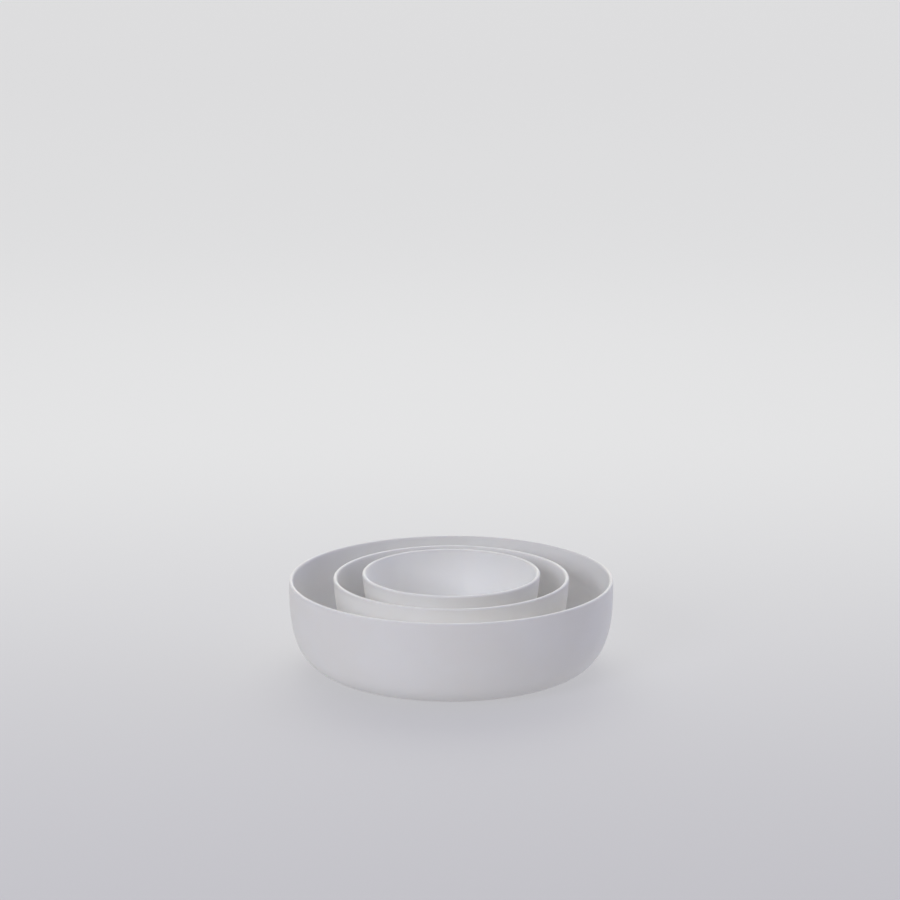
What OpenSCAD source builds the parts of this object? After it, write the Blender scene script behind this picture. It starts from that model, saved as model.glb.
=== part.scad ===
// Nest of three round porcelain bowls. Each bowl stands on the flat floor of the next larger one.
// Every bowl is one solid of revolution about Z: foot ring, recessed underside, rounded corner,
// thin wall and full-round rim. The origin is the middle of the large bowl's foot, on its plane.

/* [All bowls] */
// Wall thickness at the rim
rim_t = 2.4; // [1.8:0.1:3.2]
// Height of a bowl's inner floor above the plane it stands on
floor_z = 3.2; // [2.8:0.1:4.5]
// Height of the foot ring below the body
foot_h = 0.8; // [0.5:0.1:1.2]
// Depth of the recess inside the foot ring
recess_h = 1.2; // [0.8:0.1:1.6]
// Fullness of the corner, where 2 is an ellipse and more is squarer
fullness = 2.4; // [2.1:0.1:2.8]

/* [Large bowl] */
// Outside diameter at the rim
large_d = 210; // [195:1:240]
// Overall height
large_h = 59; // [50:1:70]
// Outside diameter of the foot ring
large_foot_d = 140; // [130:1:150]
// Fullness of its corner, which is squarer than the others
large_fullness = 2.85; // [2.4:0.05:3.2]

/* [Medium bowl] */
// Outside diameter at the rim
medium_d = 152.5; // [145:0.5:165]
// Overall height
medium_h = 56.5; // [48:0.5:66]
// Outside diameter of the foot ring
medium_foot_d = 98; // [90:1:104]
// Outward lean of the wall, as a slope
medium_lean = 0.06; // [0:0.01:0.1]

/* [Small bowl] */
// Outside diameter at the rim
small_d = 115; // [105:1:124]
// Overall height
small_h = 56; // [46:0.5:62]
// Outside diameter of the foot ring
small_foot_d = 60; // [54:1:66]
// Outward lean of the wall, as a slope
small_lean = 0.09; // [0:0.01:0.12]

/* [Hidden] */
$fn = 180;

foot_w = 4;         // width of a foot ring
foot_round = 0.4;   // rounding of the foot ring's edges
recess_slope = 2;   // width over which the underside rises from the foot ring
curve_step = 3;     // degrees between points along a wall
round_step = 15;    // degrees between points around a rim or a foot edge
porcelain_cool = [0.80, 0.79, 0.82];
porcelain_mid = [0.84, 0.83, 0.83];
porcelain_warm = [0.87, 0.86, 0.84];

// Points on an arc about c, from angle a0 to a1.
function arc(c, r, a0, a1) =
    let (n = ceil(abs(a1 - a0) / round_step))
    [for (i = [0:n]) c + r * [cos(a0 + (a1 - a0) * i / n), sin(a0 + (a1 - a0) * i / n)]];

// One side of a wall, from the edge of the flat floor at [r0, z0] up to the rim at [r1, z1]:
// a superellipse quarter that leaves the floor level, with a straight outward lean added.
function wall(r0, z0, r1, z1, full, lean) =
    let (high = z1 - z0, out = lean * high, wide = r1 - r0 - out)
    [for (a = [0:curve_step:90])
        let (up = 1 - pow(cos(a), 2 / full))
        [r0 + wide * pow(sin(a), 2 / full) + out * up, z0 + high * up]];

function reversed(points) = [for (i = [len(points) - 1:-1:0]) points[i]];

// Half cross-section of a bowl, anticlockwise from the middle of its underside.
function outline(d, h, foot_d, full, lean) =
    let (
        r = d / 2,
        foot_r = foot_d / 2,
        foot_in = foot_r - foot_w,
        rim_c = [r - rim_t / 2, h - rim_t / 2]
    )
    concat(
        [[0, recess_h], [foot_in - recess_slope, recess_h]],
        arc([foot_in + foot_round, foot_round], foot_round, 210, 270),
        arc([foot_r - foot_round, foot_round], foot_round, 270, 360),
        wall(foot_r, foot_h, r, rim_c[1], full, lean),
        arc(rim_c, rim_t / 2, round_step, 180 - round_step),
        reversed(wall(foot_r, floor_z, r - rim_t, rim_c[1], full, lean)),
        [[0, floor_z]]
    );

module bowl(d, h, foot_d, full, lean) {
    rotate_extrude() polygon(outline(d, h, foot_d, full, lean));
}

module large_bowl() {
    color(porcelain_cool) bowl(large_d, large_h, large_foot_d, large_fullness, 0);
}

module medium_bowl() {
    color(porcelain_mid) translate([0, 0, floor_z])
        bowl(medium_d, medium_h, medium_foot_d, fullness, medium_lean);
}

module small_bowl() {
    color(porcelain_warm) translate([0, 0, 2 * floor_z])
        bowl(small_d, small_h, small_foot_d, fullness, small_lean);
}

large_bowl();
medium_bowl();
small_bowl();
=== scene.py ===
"""Nest of three porcelain bowls: matt bare porcelain outside and on each lip, clear glaze inside.

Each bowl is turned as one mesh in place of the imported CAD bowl, on the same outline. It adds what the
CAD leaves out: the edge of the glaze, the recess's rounded corner and the slight warp of the firing.
"""

import math

import bmesh
import bpy
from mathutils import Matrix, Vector


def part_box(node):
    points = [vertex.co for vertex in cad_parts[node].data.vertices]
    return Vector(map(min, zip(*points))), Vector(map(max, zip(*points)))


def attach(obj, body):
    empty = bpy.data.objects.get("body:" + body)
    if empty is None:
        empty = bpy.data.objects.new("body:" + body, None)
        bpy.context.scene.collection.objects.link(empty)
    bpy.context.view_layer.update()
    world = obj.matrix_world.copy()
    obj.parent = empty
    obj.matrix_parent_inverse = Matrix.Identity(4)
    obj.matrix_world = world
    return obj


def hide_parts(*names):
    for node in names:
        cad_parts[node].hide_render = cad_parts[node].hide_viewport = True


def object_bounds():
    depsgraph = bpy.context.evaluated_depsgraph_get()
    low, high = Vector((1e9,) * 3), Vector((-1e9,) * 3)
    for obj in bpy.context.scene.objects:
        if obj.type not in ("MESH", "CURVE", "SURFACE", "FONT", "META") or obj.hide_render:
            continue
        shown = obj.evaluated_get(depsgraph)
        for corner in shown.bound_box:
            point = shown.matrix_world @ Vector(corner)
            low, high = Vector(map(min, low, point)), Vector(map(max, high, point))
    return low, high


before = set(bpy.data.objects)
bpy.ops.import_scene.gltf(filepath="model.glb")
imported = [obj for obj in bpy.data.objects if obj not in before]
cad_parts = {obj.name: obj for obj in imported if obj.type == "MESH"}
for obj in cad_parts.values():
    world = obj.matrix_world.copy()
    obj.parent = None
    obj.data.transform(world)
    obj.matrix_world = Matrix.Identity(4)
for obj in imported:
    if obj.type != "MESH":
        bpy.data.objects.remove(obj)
cad_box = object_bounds()
MM = 0.001

# ---------------------------------------------------------------- bowls
# Sizes that part.scad gives every bowl, in metres.
RIM_T = 2.4 * MM
FLOOR_Z = 3.2 * MM
FOOT_H = 0.8 * MM
RECESS_H = 1.2 * MM
FOOT_W = 4.0 * MM
FOOT_ROUND = 0.4 * MM
RECESS_SLOPE = 2.0 * MM

# What the looks change in them.
GLAZE_T = 0.12 * MM       # how far the glaze stands proud of the bare lip
FILLET = 0.5 * MM         # inner corner of the recess
OVAL = 0.25 * MM          # out of round at the rim, always inwards
SAG = 0.15 * MM           # waviness of the rim, always downwards
SEAT_GAP = 0.02 * MM      # from a bowl's inner floor up to the foot that stands on it

# name: (foot diameter, fullness of the corner, outward lean of the wall, turn of the warp)
BOWLS = {
    "large_bowl": (140 * MM, 2.85, 0.0, 0.4),
    "medium_bowl": (98 * MM, 2.4, 0.06, 2.1),
    "small_bowl": (60 * MM, 2.4, 0.09, 4.0),
}
AROUND = 240                  # faces around a bowl
WALL_STEPS = 44               # faces up each side of a wall
ROUND_STEPS = 8               # faces across a foot edge, and half as many as over a rim
FILLET_STEPS = 4              # faces across the recess's corner, and across the glaze's edge
RECESS_STEPS = 12             # faces from the axis to the recess's corner
FLOOR_STEPS = 16              # faces from the axis to the inner floor's edge
FOOT_FROM = 210               # degrees: where the foot's inner round starts, at the recess's slope
SHARP = math.radians(50)      # two faces that meet at more than this make a sharp edge
POLE = 1e-6                   # a point nearer the axis than this lies on it

# material slots of a bowl, in order
BARE, LIP, GLAZED, FOOT = 0, 1, 2, 3


def arc(centre, radius, start, end, steps):
    """Points along an arc, from one angle to another in degrees."""
    angles = [math.radians(start + (end - start) * i / steps) for i in range(steps + 1)]
    return [(centre[0] + radius * math.cos(a), centre[1] + radius * math.sin(a)) for a in angles]


def wall(r0, z0, r1, z1, full, lean):
    """A side of the wall: part.scad's superellipse quarter with a straight outward lean."""
    high = z1 - z0
    out = lean * high
    wide = r1 - r0 - out
    points = []
    for i in range(WALL_STEPS + 1):
        a = math.pi / 2 * i / WALL_STEPS
        up = 1 - max(math.cos(a), 0.0) ** (2 / full)
        points.append((r0 + wide * math.sin(a) ** (2 / full) + out * up, z0 + high * up))
    return points


def level(r0, r1, z, steps):
    """Points along a level line, from one radius to another."""
    return [(r0 + (r1 - r0) * i / steps, z) for i in range(steps + 1)]


def outline(radius, height, foot_d, full, lean):
    """Stretches of the half cross-section from the middle of the underside to the middle of the
    inner floor, each as (material, points)."""
    foot_r = foot_d / 2
    foot_in = foot_r - FOOT_W
    recess_r = foot_in - RECESS_SLOPE
    slope = math.degrees(math.atan2(RECESS_H, RECESS_SLOPE))
    rim_r = radius - RIM_T / 2
    rim_z = height - RIM_T / 2
    inner_r = radius - RIM_T - GLAZE_T
    seat_z = FLOOR_Z - SEAT_GAP
    return [
        (BARE, level(0, recess_r - FILLET, RECESS_H, RECESS_STEPS)),
        (BARE, arc((recess_r - FILLET, RECESS_H - FILLET), FILLET, 90, 90 - slope, FILLET_STEPS)[1:]),
        (FOOT, arc((foot_in + FOOT_ROUND, FOOT_ROUND), FOOT_ROUND, FOOT_FROM, 270, ROUND_STEPS)),
        (FOOT, arc((foot_r - FOOT_ROUND, FOOT_ROUND), FOOT_ROUND, 270, 360, ROUND_STEPS)),
        (BARE, wall(foot_r, FOOT_H, radius, rim_z, full, lean)),
        (LIP, arc((rim_r, rim_z), RIM_T / 2, 0, 180, 2 * ROUND_STEPS)[1:]),
        (GLAZED, arc((inner_r + GLAZE_T, rim_z - GLAZE_T), GLAZE_T, 90, 180, FILLET_STEPS)),
        (GLAZED, wall(foot_r, seat_z, inner_r, rim_z - GLAZE_T, full, lean)[-2::-1]),
        (GLAZED, level(foot_r, 0, seat_z, FLOOR_STEPS)[1:]),
    ]


def warped(r, z, turn, phase, height):
    """A point of a fired bowl. The foot stays round and flat, and the rim is a little oval and wavy."""
    up = max(z / height, 0.0) ** 2
    r -= OVAL * up * (1 + math.cos(2 * turn + phase)) / 2
    drop = SAG * up * (1 + math.cos(3 * turn - phase)) / 2
    return (r * math.cos(turn), r * math.sin(turn), z - drop)


def added(name, data):
    """A new object in the scene."""
    made = bpy.data.objects.new(name, data)
    bpy.context.scene.collection.objects.link(made)
    return made


def turned(name, stretches, lift=0.0, phase=0.0, height=1.0):
    """An object turned about Z and raised by `lift`. A point at radius 0 is one vertex. The attribute
    "up" is each point's own height as a share of `height`."""
    bm = bmesh.new()
    rise = bm.verts.layers.float.new("up")
    turns = [2 * math.pi * k / AROUND for k in range(AROUND)]
    previous = None
    for material, points in stretches:
        for r, z in points:
            places = [(0, 0, z)]
            if r > POLE:
                places = [warped(r, z, t, phase, height) for t in turns]
            ring = [bm.verts.new((x, y, h + lift)) for x, y, h in places]
            for vert in ring:
                vert[rise] = z / height
            for k in range(AROUND if previous else 0):
                n = (k + 1) % AROUND
                low = [previous[k % len(previous)], previous[n % len(previous)]]
                high = [ring[n % len(ring)], ring[k % len(ring)]]
                face = bm.faces.new(list(dict.fromkeys(low + high)))
                face.material_index = material
                face.smooth = True
            previous = ring
    bmesh.ops.recalc_face_normals(bm, faces=bm.faces)
    mesh = bpy.data.meshes.new(name)
    bm.to_mesh(mesh)
    bm.free()
    mesh.set_sharp_from_angle(angle=SHARP)
    return added(name, mesh)


# ---------------------------------------------------------------- materials
class Nodes:
    """A node tree, with a short call that adds a node."""

    def __init__(self, tree):
        self.tree = tree

    def node(self, kind, links=None, **settings):
        """A new node with these settings. `links` gives each socket an output or a constant."""
        made = self.tree.nodes.new(kind)
        for key, value in settings.items():
            setattr(made, key, value)
        for socket, value in (links or {}).items():
            if isinstance(value, bpy.types.NodeSocket):
                self.tree.links.new(value, made.inputs[socket])
            else:
                made.inputs[socket].default_value = value
        return made


class Surface(Nodes):
    """A Principled material, with short calls for the nodes that its detail is made of."""

    PATCH_EDGE = (0.35, 0.65)     # noise below is one patch, and above is the other
    DRIFT_SPAN = (0.3, 0.7)       # nearly all noise lies between these

    def __init__(self, name, **constants):
        """`constants` are values of the shader's own sockets, with _ for a space in their names."""
        self.material = bpy.data.materials.new(name)
        self.material.use_nodes = True
        super().__init__(self.material.node_tree)
        self.shader = self.tree.nodes["Principled BSDF"]
        for socket, value in constants.items():
            self.shader.inputs[socket.replace("_", " ")].default_value = value
        self.place = self.node("ShaderNodeTexCoord").outputs["Object"]

    def noise(self, size, detail=2.0):
        """Noise of 0 to 1 whose lumps are about `size` across."""
        links = {"Vector": self.place, "Scale": 1 / size, "Detail": detail}
        return self.node("ShaderNodeTexNoise", links).outputs["Fac"]

    def lathe_lines(self, pitch):
        """Level lines about `pitch` apart, as a turning tool leaves them."""
        height = self.node("ShaderNodeSeparateXYZ", {"Vector": self.place}).outputs["Z"]
        links = {"W": height, "Scale": 1 / pitch, "Detail": 3.0}
        return self.node("ShaderNodeTexNoise", links, noise_dimensions="1D").outputs["Fac"]

    def rings(self, pitch):
        """Rings about the axis, about `pitch` apart."""
        flat = self.node("ShaderNodeVectorMath", {0: self.place, 1: (1, 1, 0)}, operation="MULTIPLY")
        reach = self.node("ShaderNodeVectorMath", {0: flat.outputs["Vector"]}, operation="LENGTH")
        links = {"W": reach.outputs["Value"], "Scale": 1 / pitch, "Detail": 3.0}
        return self.node("ShaderNodeTexNoise", links, noise_dimensions="1D").outputs["Fac"]

    def pinholes(self, apart, width):
        """1 on the sound surface, falling to 0 in tiny pits."""
        cells = self.node("ShaderNodeTexVoronoi", {"Vector": self.place, "Scale": 1 / apart})
        return self.remap(cells.outputs["Distance"], 0, width / apart, 0, 1)

    def patches(self, size, detail=3.0):
        """0 and 1 in patches about `size` across, with soft edges."""
        return self.remap(self.noise(size, detail), *self.PATCH_EDGE, 0, 1)

    def drift(self, size, low, high):
        """A value that drifts between two limits over about `size`."""
        return self.remap(self.noise(size), *self.DRIFT_SPAN, low, high)

    def remap(self, value, from_min, from_max, to_min, to_max):
        """One range eased onto another, and held at its ends."""
        links = {"Value": value, "From Min": from_min, "From Max": from_max,
                 "To Min": to_min, "To Max": to_max}
        kind = "ShaderNodeMapRange"
        return self.node(kind, links, interpolation_type="SMOOTHSTEP").outputs["Result"]

    def facing_up(self):
        """1 where the surface looks straight up, 0 on a wall."""
        normal = self.node("ShaderNodeNewGeometry").outputs["Normal"]
        return self.node("ShaderNodeSeparateXYZ", {"Vector": normal}).outputs["Z"]

    def attribute(self, name):
        """A number that each point of the mesh carries."""
        return self.node("ShaderNodeAttribute", attribute_name=name).outputs["Fac"]

    def blend(self, factor, first, second):
        """The first colour where the factor is 0, the second where it is 1."""
        made = self.node("ShaderNodeMix", {"Factor": factor}, data_type="RGBA")
        for socket, value in zip((s for s in made.inputs if s.type == "RGBA"), (first, second)):
            if isinstance(value, bpy.types.NodeSocket):
                self.tree.links.new(value, socket)
            else:
                socket.default_value = (*value, 1)
        return next(s for s in made.outputs if s.type == "RGBA")

    def relief(self, layers):
        """Bump from (height, depth in metres) pairs, one on the other."""
        normal = None
        for height, depth in layers:
            links = {"Height": height, "Distance": depth}
            if normal:
                links["Normal"] = normal
            normal = self.node("ShaderNodeBump", links).outputs["Normal"]
        return normal

    def set(self, **sockets):
        """Links outputs to the shader's sockets."""
        for socket, output in sockets.items():
            self.tree.links.new(output, self.shader.inputs[socket.replace("_", " ")])


# Base colours, linear.
WHITE = (0.91, 0.90, 0.885)
WARM_WHITE = (0.895, 0.88, 0.855)
UNDER_GLAZE = (0.93, 0.925, 0.91)
COOL_UNDER_GLAZE = (0.925, 0.925, 0.915)
POOLED_AND_SHADED = (0.87, 0.875, 0.865)          # where the glaze has gathered, and painted shade towards the floor
# partly wear, partly painted shade: the lip is greyer where it faces up
RUBBED_SHADED_LIP = (0.89, 0.885, 0.875)
WORN_SHADED_LIP = (0.85, 0.84, 0.82)
# painted shade: the bare wall's colour just above the foot
PAINTED_FOOT_SHADE = (0.80, 0.79, 0.775)
SANDED = (0.85, 0.83, 0.79)
RUB_MARK = (0.74, 0.72, 0.69)

TONE_PATCH = 45 * MM                   # width of the slow changes of tone
TRANSLUCENT = {"Subsurface_Weight": 0.12, "Subsurface_Radius": (1.0, 0.85, 0.7),
               "Subsurface_Scale": 1.2 * MM}

FOOT_SHADE_TO = 0.28                    # share of a bowl's height where the painted shade towards the foot has faded out
POOL_AND_SHADE_SPAN = (0.1, 0.8)               # shares of the height between which the pooled glaze and painted shade fade out
CROWN = (0.5, 0.9)                     # how far a lip faces up where its greyer crown, partly wear and partly painted shade, begins and is full
RUB_MARKS = (0.5, 0.75)                # noise between which a rub mark on the foot begins and is full
RUB_STRENGTH = 0.8


def bare_porcelain():
    """Vitrified and matt: fine grain, faint turning lines, a few pinholes, and painted shade that greys
    it towards the foot."""
    s = Surface("bare_porcelain", **TRANSLUCENT, Specular_IOR_Level=0.3)
    tone = s.blend(s.patches(TONE_PATCH), WHITE, WARM_WHITE)
    # painted shade: the base colour greys towards the foot
    s.set(Base_Color=s.blend(s.remap(s.attribute("up"), 0, FOOT_SHADE_TO, 1, 0), tone, PAINTED_FOOT_SHADE))
    s.set(Roughness=s.drift(1.6 * MM, 0.6, 0.72))
    s.set(Normal=s.relief([
        (s.noise(9 * MM), 0.05 * MM),                    # slow unevenness of the wall
        (s.lathe_lines(1.4 * MM), 0.012 * MM),
        (s.noise(0.45 * MM, 4), 0.02 * MM),              # grain
        (s.pinholes(7 * MM, 0.25 * MM), 0.05 * MM),
    ]))
    return s.material


def lip_porcelain():
    """The rounded lip. Its up-facing crown is rubbed smooth and a shade greyer than the wall, partly as
    wear and partly as painted shade.
    """
    s = Surface("lip_porcelain", **TRANSLUCENT, Specular_IOR_Level=0.25)
    crown = s.blend(s.patches(12 * MM), RUBBED_SHADED_LIP, WORN_SHADED_LIP)
    # partly wear, partly painted shade: greyer where the lip faces up
    s.set(Base_Color=s.blend(s.remap(s.facing_up(), *CROWN, 0, 1), WHITE, crown))
    s.set(Roughness=s.drift(2 * MM, 0.5, 0.62))
    s.set(Normal=s.relief([(s.noise(5 * MM), 0.03 * MM), (s.noise(0.4 * MM, 4), 0.008 * MM)]))
    return s.material


def glazed_porcelain():
    """The same body under a clear glaze, which gets thicker towards the floor, with a darker tone there
    that is partly pooled glaze and partly painted shade.
    """
    s = Surface("glazed_porcelain", **TRANSLUCENT, Coat_Weight=0.35, Coat_Roughness=0.33,
                Coat_IOR=1.5, Specular_IOR_Level=0.25)
    tone = s.blend(s.patches(TONE_PATCH), UNDER_GLAZE, COOL_UNDER_GLAZE)
    # partly pooled glaze, partly painted shade: darker towards the inner floor
    s.set(Base_Color=s.blend(s.remap(s.attribute("up"), *POOL_AND_SHADE_SPAN, 1, 0), tone, POOLED_AND_SHADED))
    s.set(Roughness=s.drift(2.5 * MM, 0.34, 0.42))
    ripple = s.relief([(s.noise(14 * MM), 0.06 * MM), (s.noise(1.5 * MM), 0.004 * MM)])
    s.set(Normal=ripple, Coat_Normal=ripple)
    return s.material


def foot_porcelain():
    """The foot ring, sanded after firing: chalky, with scratches and grey rub marks."""
    s = Surface("foot_porcelain", **TRANSLUCENT)
    s.set(Base_Color=s.blend(s.remap(s.noise(3 * MM, 5), *RUB_MARKS, 0, RUB_STRENGTH), SANDED, RUB_MARK))
    s.set(Roughness=s.drift(1.2 * MM, 0.7, 0.9))
    s.set(Normal=s.relief([(s.rings(0.6 * MM), 0.02 * MM), (s.noise(0.3 * MM, 5), 0.04 * MM)]))
    return s.material


# in the order of BARE, LIP, GLAZED, FOOT
MATERIALS = [bare_porcelain(), lip_porcelain(), glazed_porcelain(), foot_porcelain()]

for node, (foot_d, full, lean, phase) in BOWLS.items():
    low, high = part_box(node)
    height = high.z - low.z
    shape = outline((high.x - low.x) / 2, height, foot_d, full, lean)
    bowl = turned(node + "_porcelain", shape, low.z, phase, height)
    for material in MATERIALS:
        bowl.data.materials.append(material)
    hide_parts(node)
    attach(bowl, node.removesuffix("_bowl"))

# ---------------------------------------------------------------- camera
VIEW_DISTANCE = 16 * cad_box[1][0]     # from the middle of the foot
VIEW_ELEVATION = math.radians(17.76)
VIEW_DOWN = math.radians(13.0)         # the camera's tilt below level
VIEW_LEFT = math.radians(0.028)
LENS = 102.7
SENSOR = 36

camera = added("camera", bpy.data.cameras.new("camera"))
camera.data.lens = LENS
camera.data.sensor_width = SENSOR
camera.location = (
    0,
    -VIEW_DISTANCE * math.cos(VIEW_ELEVATION),
    VIEW_DISTANCE * math.sin(VIEW_ELEVATION),
)
camera.rotation_euler = (math.pi / 2 - VIEW_DOWN, 0, VIEW_LEFT)
bpy.context.scene.camera = camera

# ---------------------------------------------------------------- floor and backdrop
# A pale floor with painted light: it glows a little, least in front of the bowls.
FLOOR_SIZE = 26
STAGE_Z = -0.02 * MM           # just under the feet, so that no two faces share a plane
PAPER = (0.22, 0.22, 0.22, 1)
NEAR_GLOW = (0.303, 0.298, 0.329)
FAR_GLOW = (0.540, 0.542, 0.544)
DIM_Y = -0.7                   # middle of the dim patch
GLOW_REACH = 1.4               # from there to the full glow along Y
DIM_NARROW = 0.4               # that reach over the reach along X

# The backdrop stands where low views see past the floor. It gives no light.
BACKDROP_R = 12
BACKDROP_H = 8
BACKDROP_GLOW = (0.68, 0.68, 0.685, 1)
BLACK = (0, 0, 0, 1)
STAGE_ROUGHNESS = 0.9


def floor_paper():
    """Its glow eases from NEAR_GLOW to FAR_GLOW away from the middle of the dim patch."""
    s = Surface("floor_paper", Base_Color=PAPER, Roughness=STAGE_ROUGHNESS, Emission_Strength=1.0)
    narrowing = {0: s.place, 1: (DIM_NARROW, 1, 0)}
    narrowed = s.node("ShaderNodeVectorMath", narrowing, operation="MULTIPLY").outputs["Vector"]
    middle = {0: narrowed, 1: (0, DIM_Y, 0)}
    away = s.node("ShaderNodeVectorMath", middle, operation="DISTANCE").outputs["Value"]
    # painted light: the floor's glow, dimmest in front of the bowls
    s.set(Emission_Color=s.blend(s.remap(away, 0, GLOW_REACH, 0, 1), NEAR_GLOW, FAR_GLOW))
    return s.material


def backdrop_paper():
    """The same glow all over."""
    s = Surface("backdrop_paper", Base_Color=BLACK, Roughness=STAGE_ROUGHNESS,
                Emission_Color=BACKDROP_GLOW, Emission_Strength=1.0)
    return s.material


half = FLOOR_SIZE / 2
corners = [(x * half, y * half, STAGE_Z) for x, y in ((-1, -1), (1, -1), (1, 1), (-1, 1))]
floor_mesh = bpy.data.meshes.new("floor")
floor_mesh.from_pydata(corners, [], [(0, 1, 2, 3)])
floor_mesh.materials.append(floor_paper())
floor = added("floor", floor_mesh)

backdrop = turned("backdrop", [(0, [(BACKDROP_R, STAGE_Z), (BACKDROP_R, BACKDROP_H)])])
backdrop.data.materials.append(backdrop_paper())
for ray in ("diffuse", "glossy", "transmission", "volume_scatter", "shadow"):
    setattr(backdrop, "visible_" + ray, False)

# ---------------------------------------------------------------- light
# The studio is a few wide soft lights without edges: (towards, narrowness, colour).
SKY = [
    ((0, 1, 0.6), 4, (1.52, 1.52, 1.36)),
    ((0, 0, 1), 2, (0.52, 0.49, 0.59)),
    ((1, 0.3, 0.2), 10, (1.09, 1.17, 1.60)),
]


def studio_sky():
    """A world whose light is the sum of the SKY directions."""
    world = bpy.data.worlds.new("studio")
    world.use_nodes = True
    s = Nodes(world.node_tree)
    direction = s.node("ShaderNodeTexCoord").outputs["Generated"]
    total = (0, 0, 0)
    for towards, narrowness, colour in SKY:
        aim = {0: direction, 1: Vector(towards).normalized()}
        facing = s.node("ShaderNodeVectorMath", aim, operation="DOT_PRODUCT").outputs["Value"]
        front = s.node("ShaderNodeMath", {0: facing, 1: 0}, operation="MAXIMUM").outputs[0]
        lobe = s.node("ShaderNodeMath", {0: front, 1: narrowness}, operation="POWER").outputs[0]
        tinted = {0: lobe, 1: colour}
        light = s.node("ShaderNodeVectorMath", tinted, operation="MULTIPLY").outputs["Vector"]
        both = {0: total, 1: light}
        total = s.node("ShaderNodeVectorMath", both, operation="ADD").outputs["Vector"]
    s.tree.links.new(total, s.tree.nodes["Background"].inputs["Color"])
    return world


bpy.context.scene.world = studio_sky()
bpy.context.scene.view_settings.view_transform = "Standard"

# name: (place, side, watts, colour), all aimed at the bowls
SOFTBOXES = {
    "front_left": ((-1.1, -1.7, 0.9), 0.8, 16.2, (0.89, 0.915, 1.0)),
    "back_near": ((0, 0.9, 1.2), 1.2, 4.4, (0.98, 1.0, 0.93)),
    "back_far": ((0, 2.6, 2.4), 2.0, 4.8, (0.92, 1.0, 0.90)),
}
AIM = Vector((0, 0, 0.03))     # about half-way up the bowls

for name, (at, side, watts, colour) in SOFTBOXES.items():
    lamp = bpy.data.lights.new(name, "AREA")
    lamp.size = side
    lamp.energy = watts
    lamp.color = colour
    softbox = added(name, lamp)
    softbox.location = at
    softbox.rotation_euler = (AIM - Vector(at)).to_track_quat("-Z", "Y").to_euler()
